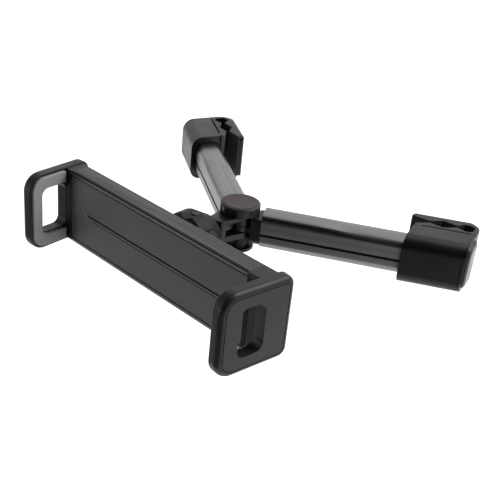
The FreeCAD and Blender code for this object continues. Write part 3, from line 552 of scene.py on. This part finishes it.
# %% Painted scallop shade
SHADE_DISCS = 6
SHADE_DISC_Y = span("ring_nut", Y)["middle"]
SHADE_DISC_OUT = 20.8
SHADE_DISC_R, SHADE_DISC_H, SHADE_DISC_ROUND = 3.4, 1.4, 0.25
SHADE_DISC_RIM, SHADE_DISC_SINK = 0.8, 0.2
master = disc(SHADE_DISC_R, SHADE_DISC_H, (0, 0, 0), rim=40)
inset_faces(master, faces_up, SHADE_DISC_RIM, SHADE_DISC_SINK)
soften(master, SHADE_DISC_ROUND, steps=2)
for k in range(SHADE_DISCS):
    angle = 2 * pi * (k + 0.5) / SHADE_DISCS
    shade_disc = twin(master, (SHADE_DISC_OUT * cos(angle), SHADE_DISC_Y, SHADE_DISC_OUT * sin(angle)))
    shade_disc.rotation_euler = (0.0, radians(90) - angle, 0.0)
    # The rubber of the clamp teeth, here painting the shade in the scallop.
    fit_piece(shade_disc, "ring_scallop_shade_%d" % k, "ring", teeth_and_scallop_shade_rubber)
bpy.data.objects.remove(master)

# %% [markdown]
# ## Painted shade seams of the jaws
#
# A thin dark line runs round each jaw's outer face, where the flat meets the rounded rim: it is
# painted shade of the gap there, a near-black band with little gloss. It starts as a plane with
# the face's outline, whose corners are rounded. An inset leaves a narrow band at its rim, the
# inside is deleted, and Solidify gives the band a little depth.

# %% Seams
PLATE_HALF = span("jaw_right", Z)["high"]
PLATE_TAIL, PLATE_LEAN = 22.0, radians(6)
SEAM_EDGE, SEAM_WIDTH, SEAM_DEPTH = 4.0, 0.5, 0.16
SEAM_FRONT_R, SEAM_BACK_R = 9.5, 3.5


def round_corners(made, x, radius):
    """Round the corners of a flat outline that lie at x."""
    bpy.context.tool_settings.mesh_select_mode = (True, False, False)
    bpy.ops.object.mode_set(mode="EDIT")
    bpy.ops.mesh.select_all(action="DESELECT")
    bpy.ops.object.mode_set(mode="OBJECT")
    for point in made.data.vertices:
        point.select = abs(point.co.x - x * MM) < 0.01 * MM
    bpy.ops.object.mode_set(mode="EDIT")
    bpy.ops.mesh.bevel(offset=radius * MM, segments=8, affect="VERTICES")
    bpy.ops.object.mode_set(mode="OBJECT")


def keep_rim(made, width):
    """Cut a flat face down to a band along its rim; the inside is the face with most corners."""
    inset_faces(made, lambda face: True, width, 0.0)
    inside = max(made.data.polygons, key=lambda face: len(face.vertices)).index
    for face in made.data.polygons:
        face.select = face.index == inside
    bpy.ops.object.mode_set(mode="EDIT")
    bpy.ops.mesh.delete(type="FACE")
    bpy.ops.object.mode_set(mode="OBJECT")


def jaw_seam(name, side, outer, reach, body):
    """The painted shade line round a jaw's outer face, on the right with side 1 and on the left with -1."""
    length = PLATE_TAIL + reach - 2 * SEAM_EDGE
    middle = (PLATE_TAIL - reach) / 2
    bpy.ops.object.select_all(action="DESELECT")
    bpy.ops.mesh.primitive_plane_add(size=1.0)
    made = bpy.context.object
    made.scale = (length * MM, 2 * (PLATE_HALF - SEAM_EDGE) * MM, 1.0)
    settle(made)
    round_corners(made, -side * length / 2, SEAM_FRONT_R)
    round_corners(made, side * length / 2, SEAM_BACK_R)
    keep_rim(made, SEAM_WIDTH)
    thick = made.modifiers.new("depth", "SOLIDIFY")
    thick.thickness = SEAM_DEPTH * MM
    thick.offset = 0.0
    only(made)
    bpy.ops.object.modifier_apply(modifier=thick.name)
    made.rotation_euler = (radians(90), 0.0, side * (radians(90) - PLATE_LEAN))
    x = side * (outer + middle * sin(PLATE_LEAN))
    y = REST_FACE + middle * cos(PLATE_LEAN)
    made.location = (x * MM, y * MM, 0.0)
    fit_piece(made, name, body, painted_shade_rubber)


jaw_seam("seam_right", 1, outer=116.0, reach=38.5, body="sliding_jaw")
jaw_seam("seam_left", -1, outer=111.5, reach=36.5, body="cradle")

# %% [markdown]
# ## Floor and surroundings
#
# The mount hangs from a seat, so the floor lies well below it. A camera ray sees the floor
# and the surroundings as white, as in a product photograph. So do a gloss ray and a ray that
# goes through clear pieces, while all other light keeps its plain level.

# %% Floor and surroundings
FLOOR_Z = -0.32
FLOOR_SIZE = 6.0
FLOOR_GLOW = 0.8
PLAIN_LIGHT = 0.42
WHITE = (1, 1, 1, 1)
SHEET_CELLS = 8


def seen_as_white(tree):
    """1 for a camera, gloss or transmission ray, otherwise 0."""
    path = add(tree, "ShaderNodeLightPath").outputs
    first = add(tree, "ShaderNodeMath", {0: path["Is Camera Ray"], 1: path["Is Transmission Ray"]},
                operation="MAXIMUM").outputs["Value"]
    both = add(tree, "ShaderNodeMath", {0: first, 1: path["Is Glossy Ray"]}, operation="MAXIMUM")
    return both.outputs["Value"]


def sheet_on(name, size, place, finish):
    """A flat stage sheet that lies level."""
    bpy.ops.object.select_all(action="DESELECT")
    bpy.ops.mesh.primitive_grid_add(x_subdivisions=SHEET_CELLS, y_subdivisions=SHEET_CELLS, size=1.0,
                                    location=place)
    made = bpy.context.object
    made.name = name
    made.scale = (*size, 1.0)
    made.data.materials.append(finish)
    return made


floor_paint, tree = blank("white floor")
paint = add(tree, "ShaderNodeBsdfDiffuse", {"Color": colour("e9e9e9")})
glow = add(tree, "ShaderNodeEmission", {"Color": WHITE, "Strength": FLOOR_GLOW})
lit = add(tree, "ShaderNodeAddShader", {0: paint.outputs["BSDF"], 1: glow.outputs["Emission"]})
finish_with(tree, add(tree, "ShaderNodeMixShader", {
    0: seen_as_white(tree), 1: paint.outputs["BSDF"], 2: lit.outputs["Shader"]}))
floor = sheet_on("floor", (FLOOR_SIZE, FLOOR_SIZE), (0, 0, FLOOR_Z), floor_paint)

world = bpy.data.worlds.new("surroundings")
scene.world = world
world.use_nodes = True
tree = world.node_tree
tree.nodes.clear()
strength = remapped(tree, seen_as_white(tree), 0.0, 1.0, PLAIN_LIGHT, 1.0)
sky = add(tree, "ShaderNodeBackground", {"Color": WHITE, "Strength": strength})
add(tree, "ShaderNodeOutputWorld", {"Surface": sky.outputs["Background"]})
print(floor.name, "at", FLOOR_Z, "m, plain light", PLAIN_LIGHT)

# %% [markdown]
# ## Dark side of the studio
#
# The side of the studio where the camera stands is dark, and it shows in the photograph as
# the deep blacks on the rounded edges that are turned to it. Three sheets of black felt make
# it: one hangs above the front, one stands on the left, and one hangs behind the camera. A
# grey cloth lies on the floor in front, which only a gloss ray sees: the broad front faces
# reflect it and are the even grey of the photograph. No camera ray sees any of the sheets.

# %% Felt and cloth
CLOTH_SPOTS_PER_M = 60.0
CLOTH_SIZE, CLOTH_PLACE = (2.6, 1.8), (0.35, -1.32, FLOOR_Z + 0.002)
TOP_SIZE, TOP_PLACE = (1.8, 1.1), (-0.1, -0.65, 0.95)
LEFT_SIZE, LEFT_PLACE = (0.9, 1.2), (-1.3, -0.66, 0.36)
HIGH_SIZE, HIGH_BEHIND = (2.4, 1.4), 0.35


def cloth(name, code, paler):
    """Matt cloth with a slightly uneven colour."""
    made, tree = blank(name)
    weave = add(tree, "ShaderNodeTexNoise", {"Vector": place_on_object(tree), "Scale": CLOTH_SPOTS_PER_M})
    tint = mixed(tree, weave.outputs["Fac"], code, paler)
    finish_with(tree, add(tree, "ShaderNodeBsdfDiffuse", {"Color": tint}))
    return made


felt = cloth("black felt", "0c0c0c", "181818")
low_cloth = sheet_on("cloth_low", CLOTH_SIZE, CLOTH_PLACE, cloth("grey cloth", "a0a0a0", "ababab"))
low_cloth.visible_diffuse = False
low_cloth.visible_shadow = False
low_cloth.visible_transmission = False
top_felt = sheet_on("felt_top", TOP_SIZE, TOP_PLACE, felt)
left_felt = sheet_on("felt_left", LEFT_SIZE, LEFT_PLACE, felt)
left_felt.rotation_euler = (0.0, radians(90), 0.0)
high_felt = sheet_on("felt_high", HIGH_SIZE, tuple(EYE - ahead * HIGH_BEHIND), felt)
high_felt.rotation_mode = "QUATERNION"
high_felt.rotation_quaternion = (-ahead).to_track_quat("Z", "Y")
for sheet in (low_cloth, top_felt, left_felt, high_felt):
    sheet.visible_camera = False
    print(sheet.name, "is hidden from the camera")

# %% [markdown]
# ## Lights
#
# One large soft light is overhead, behind the mount and to its right, and a weaker one is low
# in front on the left. Each is a square softbox that is turned to the middle of the mount.

# %% Lights
MIDDLE = Vector((0, -0.1, 0))


def softbox(name, place, size, watts):
    """A square area light at a place, turned to the middle of the mount."""
    data = bpy.data.lights.new(name, "AREA")
    data.shape = "SQUARE"
    data.size = size
    data.energy = watts
    lamp = bpy.data.objects.new(name, data)
    lamp.location = place
    lamp.rotation_mode = "QUATERNION"
    lamp.rotation_quaternion = (MIDDLE - Vector(place)).to_track_quat("-Z", "Y")
    bpy.context.collection.objects.link(lamp)
    print(name, "softbox", size, "m", watts, "W")


softbox("overhead", (0.6, 0.55, 1.1), size=1.0, watts=14.0)
softbox("front", (-0.5, -1.5, -0.1), size=0.6, watts=3.0)
